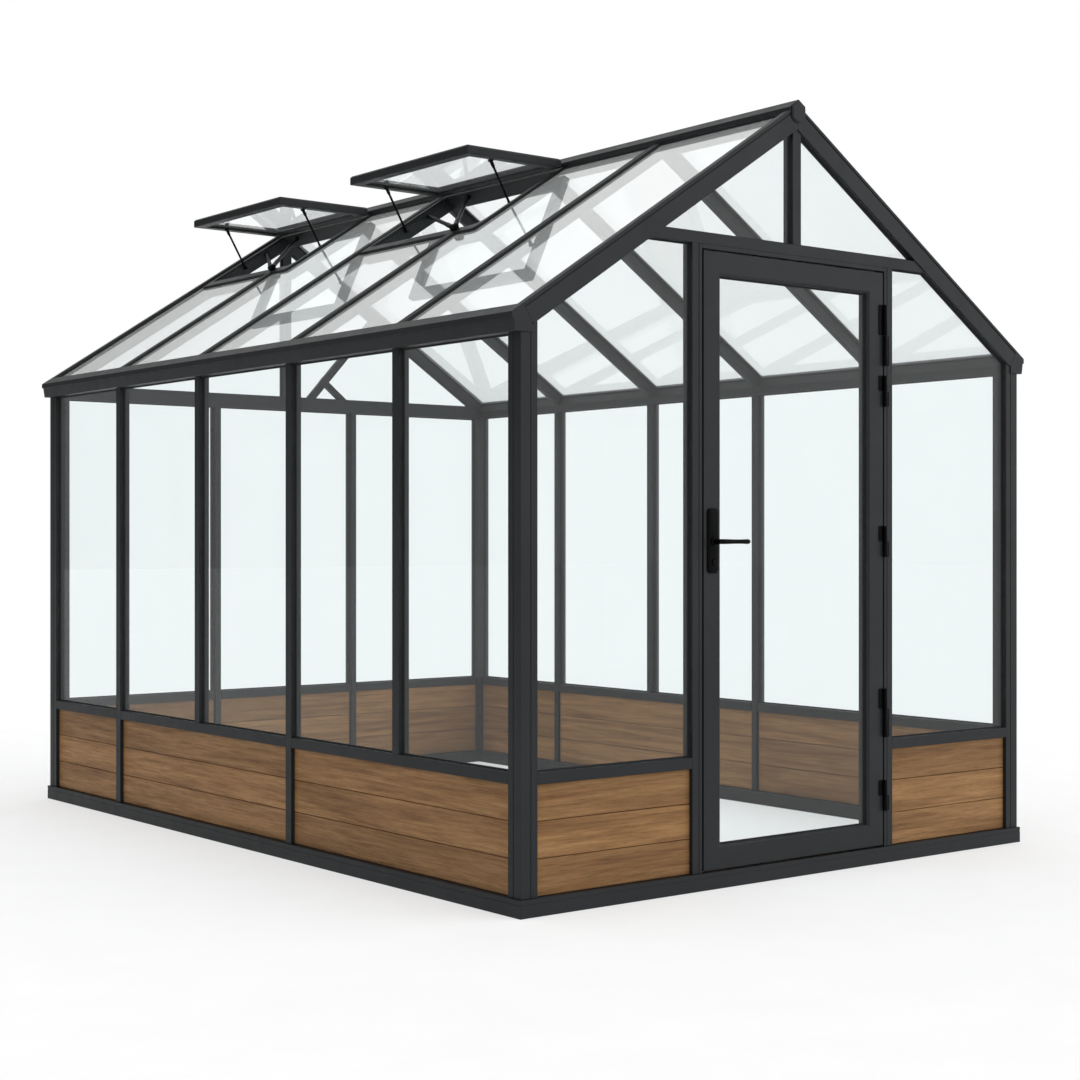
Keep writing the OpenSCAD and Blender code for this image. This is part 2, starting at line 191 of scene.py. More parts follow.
class Piece:
    """One mesh in the making."""

    def __init__(self):
        self.bm = bmesh.new()
        self.number = self.bm.verts.layers.float.new("plank")

    def loop(self, points, mark=0.0):
        verts = []
        for p in points:
            v = self.bm.verts.new(p)
            v[self.number] = mark
            verts.append(v)
        return verts

    def bridge(self, one, two):
        for i in range(len(one)):
            j = (i + 1) % len(one)
            self.bm.faces.new((one[i], one[j], two[j], two[i]))

    def prism(self, shape, basis, t0, t1, mark=0.0):
        """Extrudes an outline from t0 to t1, each a length or a function of the outline's point."""
        start = t0 if callable(t0) else lambda a, b: t0
        end = t1 if callable(t1) else lambda a, b: t1
        one = self.loop([basis @ Vector((a, b, start(a, b))) for a, b in shape], mark)
        two = self.loop([basis @ Vector((a, b, end(a, b))) for a, b in shape], mark)
        self.bridge(one, two)
        self.bm.faces.new(one)
        self.bm.faces.new(two)

    def frame(self, loops, basis):
        """Closed frame: each loop is ([(a, b)], t), and the last joins the first."""
        rings = [self.loop([basis @ Vector((a, b, t)) for a, b in points]) for points, t in loops]
        for i, ring in enumerate(rings):
            self.bridge(ring, rings[(i + 1) % len(rings)])

    def tube(self, points, radii, sides=20):
        """Round bar through points, with a radius at each."""
        rings = []
        heading = (points[1] - points[0]).normalized()
        side = heading.orthogonal().normalized()
        for i, p in enumerate(points):
            before = points[max(i - 1, 0)]
            after = points[min(i + 1, len(points) - 1)]
            if (after - before).length > MERGE:
                heading = (after - before).normalized()
            side = (side - heading * side.dot(heading)).normalized()
            other = heading.cross(side)
            ring = []
            for k in range(sides):
                angle = 2 * math.pi * k / sides
                ring.append(p + (side * math.cos(angle) + other * math.sin(angle)) * radii[i])
            rings.append(self.loop(ring))
        for one, two in zip(rings, rings[1:]):
            self.bridge(one, two)
        self.bm.faces.new(rings[0])
        self.bm.faces.new(rings[-1])

    def place(self, name, body, material, slot, *nodes, edge=EDGE):
        """Makes the object, which rides on a body and stands for CAD nodes."""
        bmesh.ops.recalc_face_normals(self.bm, faces=self.bm.faces)
        mesh = bpy.data.meshes.new(name)
        self.bm.to_mesh(mesh)
        self.bm.free()
        mesh.polygons.foreach_set("use_smooth", [True] * len(mesh.polygons))
        mesh.set_sharp_from_angle(angle=SOFT_ANGLE)
        mesh.materials.append(material)
        obj = bpy.data.objects.new(name, mesh)
        bpy.context.scene.collection.objects.link(obj)
        if edge:
            bevel = obj.modifiers.new("edges", "BEVEL")
            bevel.width = edge
            bevel.segments = EDGE_STEPS
            bevel.limit_method = "ANGLE"
            bevel.angle_limit = SOFT_ANGLE
            bevel.harden_normals = True
        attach(obj, body)
        if nodes:
            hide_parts(*nodes)
        return obj


def inset(points, distance):
    """Outline drawn in by a distance, with mitred corners."""
    count = len(points)
    area = sum(
        points[i - 1][0] * points[i][1] - points[i][0] * points[i - 1][1] for i in range(count)
    )
    way = 1 if area > 0 else -1
    result = []
    for i in range(count):
        here = Vector(points[i])
        u = (here - Vector(points[i - 1])).normalized()
        v = (Vector(points[(i + 1) % count]) - here).normalized()
        left_u = Vector((-u.y, u.x)) * way
        left_v = Vector((-v.y, v.x)) * way
        corner = (left_u + left_v) / (1 + left_u.dot(left_v))
        result.append(tuple(here + corner * distance))
    return result


def rounded(a0, a1, b0, b1, radii, steps=6):
    """Rectangle with a radius at each corner: (a0,b0), (a1,b0), (a1,b1), (a0,b1)."""
    corners = ((a0, b0, 1, 1, 180), (a1, b0, -1, 1, 270), (a1, b1, -1, -1, 0), (a0, b1, 1, -1, 90))
    points = []
    for (a, b, sa, sb, turn), r in zip(corners, radii):
        for k in range(steps + 1):
            angle = math.radians(turn + 90 * k / steps)
            points.append((a + sa * r + r * math.cos(angle), b + sb * r + r * math.sin(angle)))
    return points


def mirrored(half):
    """Closes half an outline, drawn on the side where a is positive, by mirroring it."""
    return half + [(-a, b) for a, b in reversed(half) if abs(a) > MERGE]


# ---- Profiles of the bars ----


def glazing_bar(width, depth):
    """Post or bar: a face, a shoulder past the glass and a slimmer web behind."""
    half = width / 2
    web = half - WEB_IN
    return mirrored([(half, 0), (half, SHOULDER), (web, SHOULDER), (web, depth)])


def grooved(width, depth, at):
    """Bar with one fine groove along its face, at a distance from its first edge."""
    half = width / 2
    return [
        (-half, 0), (-half, depth), (half, depth), (half, 0),
        (-half + at + GROOVE_W, 0), (-half + at + GROOVE_W, GROOVE_D),
        (-half + at, GROOVE_D), (-half + at, 0),
    ]


def plain(width, depth):
    half = width / 2
    return [(-half, 0), (-half, depth), (half, depth), (half, 0)]


def wall_bars(piece, solids, wall, upright, profile):
    """One bar for each solid of a wall, upright or lying along the wall."""
    inward, along = WALLS[wall]
    for solid in solids:
        lo, hi = span(solid)
        middle = (lo + hi) / 2
        size = hi - lo
        depth = abs(size.dot(inward))
        face = middle - inward * depth / 2
        if upright:
            basis = basis_of(Vector((face.x, face.y, 0)), along, inward, UP)
            piece.prism(profile(abs(size.dot(along)), depth), basis, lo.z, hi.z)
        else:
            half = abs(size.dot(along)) / 2
            piece.prism(profile(size.z, depth), basis_of(face, UP, inward, along), -half, half)


# ---- Materials ----


class Nodes:
    """A material's node tree, with short calls that add and join nodes."""

    def __init__(self, name):
        self.material = bpy.data.materials.new(name)
        self.material.use_nodes = True
        self.tree = self.material.node_tree
        self.tree.nodes.clear()
        self.out = self.add("ShaderNodeOutputMaterial")

    def add(self, kind, **values):
        node = self.tree.nodes.new(kind)
        for key, value in values.items():
            if hasattr(node, key):
                setattr(node, key, value)
            else:
                node.inputs[key.replace("_", " ")].default_value = value
        return node

    def join(self, source, target):
        self.tree.links.new(source, target)

    def place(self, scale):
        """Object coordinates, stretched by a scale."""
        where = self.add("ShaderNodeTexCoord")
        mapping = self.add("ShaderNodeMapping")
        mapping.inputs["Scale"].default_value = scale
        self.join(where.outputs["Object"], mapping.inputs["Vector"])
        return mapping.outputs["Vector"]

    def noise(self, where, scale, detail=3.0, rough=0.5, distortion=0.0):
        node = self.add("ShaderNodeTexNoise")
        node.inputs["Scale"].default_value = scale
        node.inputs["Detail"].default_value = detail
        node.inputs["Roughness"].default_value = rough
        node.inputs["Distortion"].default_value = distortion
        self.join(where, node.inputs["Vector"])
        return node.outputs["Fac"]

    def ramp(self, value, *stops):
        node = self.add("ShaderNodeValToRGB")
        elements = node.color_ramp.elements
        while len(elements) < len(stops):
            elements.new(0.5)
        for element, (at, colour) in zip(elements, stops):
            element.position = at
            element.color = (*colour, 1)
        self.join(value, node.inputs["Fac"])
        return node.outputs["Color"]

    def span(self, value, low, high, start=0.3, end=0.7):
        node = self.add("ShaderNodeMapRange")
        for key, number in (("From Min", start), ("From Max", end), ("To Min", low), ("To Max", high)):
            node.inputs[key].default_value = number
        self.join(value, node.inputs["Value"])
        return node.outputs["Result"]

    def mix(self, factor, one, two, how="MIX"):
        node = self.add("ShaderNodeMix")
        node.data_type = "RGBA"
        node.blend_type = how
        if isinstance(factor, float):
            node.inputs["Factor"].default_value = factor
        else:
            self.join(factor, node.inputs["Factor"])
        self.join(one, node.inputs["A"])
        self.join(two, node.inputs["B"])
        return node.outputs["Result"]

    def bump(self, height, strength, distance):
        node = self.add("ShaderNodeBump")
        node.inputs["Strength"].default_value = strength
        node.inputs["Distance"].default_value = distance
        self.join(height, node.inputs["Height"])
        return node.outputs["Normal"]

    def surface(self, colour=None, rough=None, normal=None, **values):
        shader = self.add("ShaderNodeBsdfPrincipled")
        for key, value in values.items():
            shader.inputs[key.replace("_", " ")].default_value = value
        if colour is not None:
            self.join(colour, shader.inputs["Base Color"])
        if rough is not None:
            self.join(rough, shader.inputs["Roughness"])
        if normal is not None:
            self.join(normal, shader.inputs["Normal"])
        return shader

    def done(self, shader):
        self.join(shader.outputs[0], self.out.inputs["Surface"])
        return self.material


def powder_coat(name, dark, light, rough_low, rough_high, gloss):
    """Powder-coated metal: a fine orange-peel grain with faint changes of tone."""
    m = Nodes(name)
    where = m.place((1, 1, 1))
    clouds = m.noise(where, 3.5, 4.0)
    grain = m.noise(where, 1400.0, 2.0)
    smudge = m.noise(where, 18.0, 5.0, 0.6)
    colour = m.ramp(clouds, (0.35, dark), (0.65, light))
    rough = m.span(smudge, rough_low, rough_high)
    normal = m.bump(grain, 0.25, 0.0003)
    shader = m.surface(colour, rough, normal, Specular_IOR_Level=gloss)
    return m.done(shader)


def wood(name, grain_axis):
    """Oiled walnut planks: streaks and fine pores along one axis, and each plank its own tone."""
    m = Nodes(name)
    stretch = [1.0, 1.0, 1.0]
    stretch[grain_axis] = 0.045
    where = m.place(stretch)
    number = m.add("ShaderNodeAttribute")
    number.attribute_name = "plank"
    shift = m.add("ShaderNodeVectorMath")
    shift.operation = "SCALE"
    m.join(number.outputs["Vector"], shift.inputs[0])
    shift.inputs["Scale"].default_value = 3.7
    moved = m.add("ShaderNodeVectorMath")
    m.join(where, moved.inputs[0])
    m.join(shift.outputs["Vector"], moved.inputs[1])
    at = moved.outputs["Vector"]

    bands = m.noise(at, 34.0, 4.0, 0.55, 0.6)
    streaks = m.noise(at, 150.0, 5.0, 0.65, 0.3)
    pores = m.noise(at, 520.0, 3.0, 0.6)
    base = m.ramp(
        bands,
        (0.28, (0.150, 0.073, 0.027)),
        (0.45, (0.225, 0.116, 0.045)),
        (0.62, (0.285, 0.156, 0.064)),
        (0.80, (0.200, 0.102, 0.039)),
    )
    fine = m.ramp(streaks, (0.32, (0.66, 0.64, 0.61)), (0.62, (1.06, 1.06, 1.06)))
    base = m.mix(0.9, base, fine, "MULTIPLY")
    dark = m.ramp(pores, (0.30, (0.45, 0.42, 0.40)), (0.46, (1.0, 1.0, 1.0)))
    base = m.mix(0.55, base, dark, "MULTIPLY")
    tone = m.noise(moved.outputs["Vector"], 0.35, 0.0)
    tint = m.ramp(tone, (0.3, (0.84, 0.83, 0.82)), (0.7, (1.12, 1.12, 1.12)))
    base = m.mix(1.0, base, tint, "MULTIPLY")
    rough = m.span(streaks, 0.62, 0.42)
    relief = m.bump(pores, 0.35, 0.0006)
    shader = m.surface(base, rough, relief, Specular_IOR_Level=0.18)
    return m.done(shader)


# Painted glow that each face of a pane gives off, standing in for the faint light that dust and stray
# reflections add
PAINTED_PANE_GLOW = 0.018


def glass(name, tint, ior, clear_share):
    """Clear glass with a faint green body, slow waves and a faint painted glow on each face; shadow rays
    pass straight through it.
    """
    m = Nodes(name)
    where = m.place((1, 1, 1))
    film = m.noise(where, 5.0, 3.0)
    waves = m.noise(where, 1.2, 0.0)
    colour = m.ramp(film, (0.3, tint), (0.7, [min(1.0, c + 0.008) for c in tint]))
    normal = m.bump(waves, 0.02, 0.0006)
    # Painted glow: each face of the pane gives off faint white light of its own
    shader = m.surface(
        colour, None, normal, Transmission_Weight=clear_share, IOR=ior, Roughness=0.0,
        Emission_Color=(1, 1, 1, 1), Emission_Strength=PAINTED_PANE_GLOW,
    )
    clear = m.add("ShaderNodeBsdfTransparent")
    clear.inputs["Color"].default_value = (0.93, 0.97, 0.965, 1)
    light = m.add("ShaderNodeLightPath")
    either = m.add("ShaderNodeMixShader")
    m.join(light.outputs["Is Shadow Ray"], either.inputs["Fac"])
    m.join(shader.outputs[0], either.inputs[1])
    m.join(clear.outputs[0], either.inputs[2])
    return m.done(either)


def rubber(name):
    """Black glazing seal, dull and slightly dusty."""
    m = Nodes(name)
    where = m.place((1, 1, 1))
    dust = m.noise(where, 60.0, 5.0, 0.6)
    colour = m.ramp(dust, (0.4, (0.006, 0.006, 0.006)), (0.75, (0.016, 0.016, 0.017)))
    rough = m.span(dust, 0.7, 0.85)
    normal = m.bump(dust, 0.2, 0.0004)
    return m.done(m.surface(colour, rough, normal, Specular_IOR_Level=0.25))


# Light that the floor adds, so that it stays as white as the world behind it
FLOOR_GLOW = 0.49


def pale_floor(name):
    """Plain white studio floor with a hardly visible mottle."""
    m = Nodes(name)
    where = m.place((1, 1, 1))
    mottle = m.noise(where, 4.0, 3.0)
    colour = m.ramp(mottle, (0.3, (0.49, 0.49, 0.49)), (0.7, (0.51, 0.51, 0.51)))
    rough = m.span(mottle, 0.8, 0.9)
    return m.done(
        m.surface(
            colour, rough, Specular_IOR_Level=0.02,
            Emission_Color=(1, 1, 1, 1), Emission_Strength=FLOOR_GLOW,
        )
    )


GREY = powder_coat(
    "charcoal_coat", (0.0125, 0.0145, 0.0158), (0.0150, 0.0172, 0.0186), 0.40, 0.50, 0.17
)
BLACK = powder_coat(
    "black_coat", (0.0012, 0.0012, 0.0013), (0.0022, 0.0022, 0.0024), 0.34, 0.46, 0.05
)
WOOD_X = wood("walnut_across", 0)
WOOD_Y = wood("walnut_along", 1)
GLASS = glass("clear_pane", (0.885, 0.918, 0.92), 1.12, 1.0)
ROOF_GLASS = glass("roof_pane", (0.975, 0.995, 0.998), 1.5, 0.88)
RUBBER = rubber("black_seal")

FRAME_SLOT = "grey_frame"
WOOD_SLOT = "stained_wood"
BLACK_SLOT = "black_fittings"
HOUSE = "greenhouse"
DOOR = "door"
HANDLE = "handle"


# ---- Base, posts and rails ----


def build_base():
    """Four base rails, mitred at the corners, with a drip groove along the outside."""
    lo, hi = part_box("base_rail_front")
    depth = hi.y - lo.y
    height = hi.z
    outer = Vector((hi.x, abs(lo.y), 0))
    lip = 0.7 * height
    shape = [
        (0, 0), (depth, 0), (depth, height), (0, height),
        (0, lip + GROOVE_W), (GROOVE_D / 2, lip + GROOVE_W), (GROOVE_D / 2, lip), (0, lip),
    ]
    for wall, (inward, along) in WALLS.items():
        piece = Piece()
        half = abs(along.x) * outer.x + abs(along.y) * outer.y
        out = abs(inward.x) * outer.x + abs(inward.y) * outer.y
        basis = basis_of(-inward * out, inward, UP, along)
        piece.prism(shape, basis, lambda a, b: -half + a, lambda a, b: half - a)
        piece.place(f"base_{wall}", HOUSE, GREY, FRAME_SLOT, f"base_rail_{wall}")


def build_corner_posts():
    """Corner posts with two fine grooves, one to a face, and the wedges up to the rafters."""
    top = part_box("eave_rails")[0].z
    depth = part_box("king_posts")[1].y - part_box("back_tie_rail")[0].y
    groove = 0.024
    piece = Piece()
    for solid in islands("corner_posts"):
        lo, hi = span(solid)
        sx = 1 if hi.x > 0 else -1
        sy = 1 if hi.y > 0 else -1
        corner = Vector((sx * max(abs(lo.x), abs(hi.x)), sy * max(abs(lo.y), abs(hi.y)), 0))
        inner_y = min(abs(lo.y), abs(hi.y))
        width = abs(corner.y) - inner_y
        g0 = width - groove - GROOVE_W
        g1 = width - groove
        shape = [
            (0, 0), (g0, 0), (g0, GROOVE_D), (g1, GROOVE_D), (g1, 0), (width, 0),
            (width, width), (0, width), (0, g1), (GROOVE_D, g1), (GROOVE_D, g0), (0, g0),
        ]
        basis = basis_of(corner, -RIGHT * sx, -BACK * sy, UP)
        piece.prism(shape, basis, lo.z, top)
        face = basis_of(corner, RIGHT * -sy, UP, BACK * sy)
        upper = [(a, b) for a, b in edge_loop(solid, face) if b > top + MERGE]
        upper.sort(key=lambda p: abs(p[0]))
        piece.prism([(upper[0][0], top), *upper, (upper[-1][0], top)], face, -depth, 0)
    piece.place("corner_post_set", HOUSE, GREY, FRAME_SLOT, "corner_posts")


def build_posts():
    """Wall posts, each with a web behind its face."""
    for node, wall in (
        ("left_wall_posts", "left"),
        ("right_wall_posts", "right"),
        ("back_wall_posts", "back"),
    ):
        piece = Piece()
        wall_bars(piece, islands(node), wall, True, glazing_bar)
        piece.place(f"{wall}_posts", HOUSE, GREY, FRAME_SLOT, node)


def build_door_frame():
    """Jambs with a fine groove, and the head strip."""
    piece = Piece()
    for solid in islands("door_jambs"):
        near = 0.012
        right = span(solid)[0].x > 0
        wall_bars(
            piece, [solid], "front", True,
            lambda w, d: grooved(w, d, near if right else w - near - GROOVE_W),
        )
    piece.place("jamb_pair", HOUSE, GREY, FRAME_SLOT, "door_jambs")
    piece = Piece()
    wall_bars(piece, islands("door_head"), "front", False, plain)
    piece.place("head_strip", HOUSE, GREY, FRAME_SLOT, "door_head")


def gable_prism(node, name):
    """Carries a gable bar over with its own outline."""
    piece = Piece()
    for solid in islands(node):
        lo, hi = span(solid)
        back = lo.y > 0
        basis = basis_of(Vector((0, 0, 0)), RIGHT * (-1 if back else 1), UP, BACK * (1 if back else -1))
        shape = edge_loop(solid, basis)
        t0 = lo.y if back else -hi.y
        t1 = hi.y if back else -lo.y
        piece.prism(shape, basis, t0, t1)
    piece.place(name, HOUSE, GREY, FRAME_SLOT, node)


def build_gable_bars():
    gable_prism("front_header", "header_bar")
    gable_prism("back_tie_rail", "tie_bar")
    gable_prism("king_posts", "king_post_pair")


def build_brace():
    """Brace and its leg: the model's own mesh, with flat sides joined and edges eased."""
    piece = Piece()
    for solid in islands("back_brace"):
        for face in solid:
            piece.bm.faces.new(piece.loop(face))
    bmesh.ops.remove_doubles(piece.bm, verts=piece.bm.verts[:], dist=MERGE)
    bmesh.ops.dissolve_limit(
        piece.bm, angle_limit=FLAT_ANGLE, verts=piece.bm.verts[:], edges=piece.bm.edges[:]
    )
    piece.place("brace_bars", HOUSE, GREY, FRAME_SLOT, "back_brace")


def build_sills():
    """Plain rails under the glass, all round."""
    for node, wall in (("left_sill_rails", "left"), ("right_sill_rails", "right")):
        piece = Piece()
        wall_bars(piece, islands(node), wall, False, plain)
        piece.place(f"{wall}_sills", HOUSE, GREY, FRAME_SLOT, node)
    piece = Piece()
    for solid in islands("gable_sill_rails"):
        wall = "front" if span(solid)[0].y < 0 else "back"
        wall_bars(piece, [solid], wall, False, plain)
    piece.place("gable_sills", HOUSE, GREY, FRAME_SLOT, "gable_sill_rails")


# ---- Boarded panels ----


def plank_profile(height, depth):
    """Plank with eased edges towards both faces."""
    half = height / 2
    ease = PLANK_GROOVE / 2
    return [
        (-half, PLANK_ROUND), (-half + ease, 0), (half - ease, 0), (half, PLANK_ROUND),
        (half, depth - PLANK_ROUND), (half - ease, depth), (-half + ease, depth),
        (-half, depth - PLANK_ROUND),
    ]


def build_boards():
    """Three planks to a field, a little apart, with dark tongues in the joints."""
    rng = random.Random(SEED)
    for node, name in (
        ("left_wall_boards", "left_planks"),
        ("right_wall_boards", "right_planks"),
        ("gable_wall_boards", "gable_planks"),
    ):
        piece = Piece()
        strips = Piece()
        for solid in islands(node):
            lo, hi = span(solid)
            if node.startswith("gable"):
                wall = "front" if lo.y < 0 else "back"
            else:
                wall = node.split("_")[0]
            inward, along = WALLS[wall]
            middle = (lo + hi) / 2
            size = hi - lo
            depth = abs(size.dot(inward))
            half = abs(size.dot(along)) / 2
            step = size.z / PLANKS
            for k in range(PLANKS):
                centre = middle - inward * depth / 2
                centre.z = lo.z + (k + 0.5) * step
                basis = basis_of(centre, UP, inward, along)
                shape = plank_profile(step - PLANK_GAP, depth)
                piece.prism(shape, basis, -half, half, rng.uniform(0, 40))
                if k:
                    joint = basis_of(centre - UP * step / 2, UP, inward, along)
                    gap = PLANK_GAP * TONGUE
                    front, back = depth * 0.3, depth * 0.7
                    tongue = [(-gap, front), (-gap, back), (gap, back), (gap, front)]
                    strips.prism(tongue, joint, -half, half)
        material = WOOD_X if node.startswith("gable") else WOOD_Y
        piece.place(name, HOUSE, material, WOOD_SLOT, node, edge=0.0006)
        strips.place(f"{name}_tongues", HOUSE, RUBBER, BLACK_SLOT, edge=0)


# ---- Roof frame ----


def build_eaves():
    """Eave rails, which carry the model's own profile over."""
    piece = Piece()
    for solid in islands("eave_rails"):
        lo, hi = span(solid)
        basis = basis_of(Vector((0, 0, 0)), RIGHT, UP, -BACK)
        shape = edge_loop(solid, basis)
        piece.prism(shape, basis, lo.y, hi.y)
    piece.place("eave_pair", HOUSE, GREY, FRAME_SLOT, "eave_rails")


def rafter_profile(lo, hi, way):
    """Gable rafter in (n, y): a lip above a groove along the face."""
    outer = hi.y if way > 0 else lo.y
    inner = lo.y if way > 0 else hi.y
    lip = 0.010
    wide = 0.0045
    deep = outer - way * 0.004
    top = hi.z
    return [
        (top, inner), (top, outer), (top - lip, outer), (top - lip, deep),
        (top - lip - wide, deep), (top - lip - wide, outer), (lo.z, outer), (lo.z, inner),
    ]


def build_rafters():
    """Gable rafters, cut upright against each other under the ridge."""
    piece = Piece()
    for solid in islands("gable_rafters"):
        for side in (-1, 1):
            half = [face for face in solid if all(p.x * side > -MERGE for p in face)]
            basis = slope_basis(side)
            lo, hi = span(half, basis)
            way = 1 if lo.y > 0 else -1
            turned = basis_of(basis.translation, basis.col[2].xyz, basis.col[1].xyz, basis.col[0].xyz)
            piece.prism(
                rafter_profile(lo, hi, way), turned, lo.x, lambda a, b: SLOPE + a * math.tan(PITCH)
            )
    piece.place("rafter_set", HOUSE, GREY, FRAME_SLOT, "gable_rafters")


def roof_bar(width, top, foot):
    """Roof bar in (y, n): a cap with a fine line along it, shoulders and a slim web."""
    half = width / 2
    web = half - WEB_IN
    cap = 0.003
    line = 0.0022
    right = [
        (line, top - cap / 2), (line + 0.001, top), (half - cap, top), (half, top - cap),
        (half, top - SHOULDER + 0.004), (web, top - SHOULDER + 0.004), (web, foot),
    ]
    return mirrored(right)


def build_roof_bars():
    """Capped bars between the panes of both slopes."""
    for node, side in (("left_roof_bars", -1), ("right_roof_bars", 1)):
        piece = Piece()
        basis = slope_basis(side)
        turned = basis_of(basis.translation, basis.col[1].xyz, basis.col[2].xyz, basis.col[0].xyz)
        for solid in islands(node):
            lo, hi = span(solid, basis)
            middle = (lo.y + hi.y) / 2
            shape = [(a + middle, b) for a, b in roof_bar(hi.y - lo.y, hi.z, lo.z)]
            piece.prism(shape, turned, lo.x, hi.x)
        piece.place(f"{node}_capped", HOUSE, GREY, FRAME_SLOT, node)


def build_ridge():
    """Ridge beam, cap with rolled lips, and the shield plates at its ends."""
    along = basis_of(Vector((0, 0, 0)), RIGHT, UP, -BACK)
    piece = Piece()
    for solid in islands("ridge_beam"):
        lo, hi = span(solid)
        piece.prism(edge_loop(solid, along), along, lo.y, hi.y)
    piece.place("ridge_beam_bar", HOUSE, GREY, FRAME_SLOT, "ridge_beam")

    lo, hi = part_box("ridge_cap")
    half = hi.x
    thick = (hi.z - lo.z) - half * math.tan(PITCH)
    edge = lo.z + thick
    lip = 0.006
    skin = 0.004
    shape = [
        (0, hi.z), (half - lip, edge), (half, edge - lip * 0.6), (half, lo.z),
        (half - skin, lo.z), (half - skin, lo.z + thick * 0.45), (0, hi.z - thick * 0.75),
    ]
    piece = Piece()
    piece.prism(mirrored(shape), along, lo.y, hi.y)
    piece.place("ridge_cap_roll", HOUSE, GREY, FRAME_SLOT, "ridge_cap", edge=0.001)

    piece = Piece()
    for solid in islands("ridge_end_caps"):
        lo, hi = span(solid)
        way = 1 if lo.y > 0 else -1
        face = basis_of(Vector((0, 0, 0)), RIGHT * -way, UP, BACK * way)
        shape = edge_loop(solid, face)
        near, far = min(abs(lo.y), abs(hi.y)), max(abs(lo.y), abs(hi.y))
        piece.prism(shape, face, near, far - 0.002)
        piece.prism(inset(shape, 0.004), face, far - 0.003, far)
    piece.place("ridge_shields", HOUSE, GREY, FRAME_SLOT, "ridge_end_caps", edge=0.0008)


# ---- Roof vents ----


def build_vent_frames():
    """Frames let into the roof, with rounded lower corners and an inner rebate."""
    basis = slope_basis(-1)
    hinge_u = (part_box("vent_sashes")[1].x + EAVE_X) / math.cos(PITCH)
    piece = Piece()
    for solid in islands("vent_frames"):
        lo, hi = span(solid, basis)
        sill = lo.x + RING_SILL
        near = lo.y + RING_W
        far = hi.y - RING_W
        outer = rounded(lo.x, hi.x, lo.y, hi.y, (0.022, CRISP, CRISP, 0.004))
        inner = rounded(sill, hinge_u, near, far, (0.040, CRISP, CRISP, 0.004))
        rebate = rounded(
            sill - REBATE, hinge_u, near - REBATE, far + REBATE, (0.042, CRISP, CRISP, 0.006)
        )
        step = hi.z - REBATE_D
        piece.frame(
            [(outer, lo.z), (outer, hi.z), (rebate, hi.z), (rebate, step), (inner, step), (inner, lo.z)],
            basis,
        )
    piece.place("vent_openings", HOUSE, GREY, FRAME_SLOT, "vent_frames")


def drawn_in(lo, hi, inwards, radii):
    """Level rectangle between two corners, drawn in, with rounded corners."""
    return rounded(lo.x + inwards, hi.x - inwards, lo.y + inwards, hi.y - inwards, radii)


def build_vent_sashes():
    """Level sashes: bars with a rounded outer corner, a glazing step and a drip edge."""
    radii = (0.006, 0.003, 0.003, 0.006)
    least = 0.0015
    step = RIM - 0.006
    ledge = 0.009
    bead = 0.0142
    barrel_r = 0.006
    barrel_l = 0.07
    level = basis_of(Vector((0, 0, 0)), RIGHT, BACK, UP)
    piece = Piece()
    seals = Piece()
    for solid in islands("vent_sashes"):
        lo, hi = span(solid)
        loops = []
        for inwards, z in (
            (0, lo.z + 0.002), (0.002, lo.z), (step, lo.z), (step, lo.z + ledge), (RIM, lo.z + ledge),
            (RIM, hi.z - 0.006), (RIM - 0.005, hi.z), (0.006, hi.z), (0, hi.z - 0.007),
        ):
            loops.append((drawn_in(lo, hi, inwards, [max(r - inwards, least) for r in radii]), z))
        piece.frame(loops, level)
        loops = []
        for inwards, z in (
            (RIM, bead), (RIM + SEAL_W, bead), (RIM + SEAL_W, 0.0175), (RIM, 0.0195),
        ):
            loops.append((drawn_in(lo, hi, inwards, (least,) * 4), lo.z + z))
        seals.frame(loops, level)
        # Hinge barrels along the upper edge
        for share in (0.15, 0.5, 0.85):
            y = lo.y + (hi.y - lo.y) * share
            start = Vector((hi.x - barrel_r, y - barrel_l / 2, hi.z - 0.002))
            piece.tube([start, start + BACK * barrel_l], [barrel_r, barrel_r])
    piece.place("vent_lights", HOUSE, GREY, FRAME_SLOT, "vent_sashes", edge=0.0008)
    seals.place("vent_seals", HOUSE, RUBBER, BLACK_SLOT, edge=0)


def rod_ends(solid):
    """End points of a straight thin solid."""
    points = [p for face in solid for p in face]
    lo = min(points, key=lambda p: p.z)
    hi = max(points, key=lambda p: p.z)
    low = [p for p in points if p.z < lo.z + 0.012]
    high = [p for p in points if p.z > hi.z - 0.012]
    return sum(low, Vector()) / len(low), sum(high, Vector()) / len(high)


def build_vent_stays():
    """Prop rods with flattened ends and a cross pin at each end."""
    thin = 0.0045
    thick = 0.0065
    pin_r = 0.0055
    piece = Piece()
    for solid in islands("vent_stays"):
        foot, head = rod_ends(solid)
        way = (head - foot).normalized()
        piece.tube(
            [foot - way * 0.004, foot + way * 0.02, foot + way * 0.03, head - way * 0.03,
             head - way * 0.02, head + way * 0.002],
            [thick, thick, thin, thin, thick, thick], 14,
        )
        for end in (foot, head):
            piece.tube([end - BACK * 0.011, end + BACK * 0.011], [pin_r, pin_r], 14)
    piece.place("vent_props", HOUSE, BLACK, BLACK_SLOT, "vent_stays", edge=0.0005)


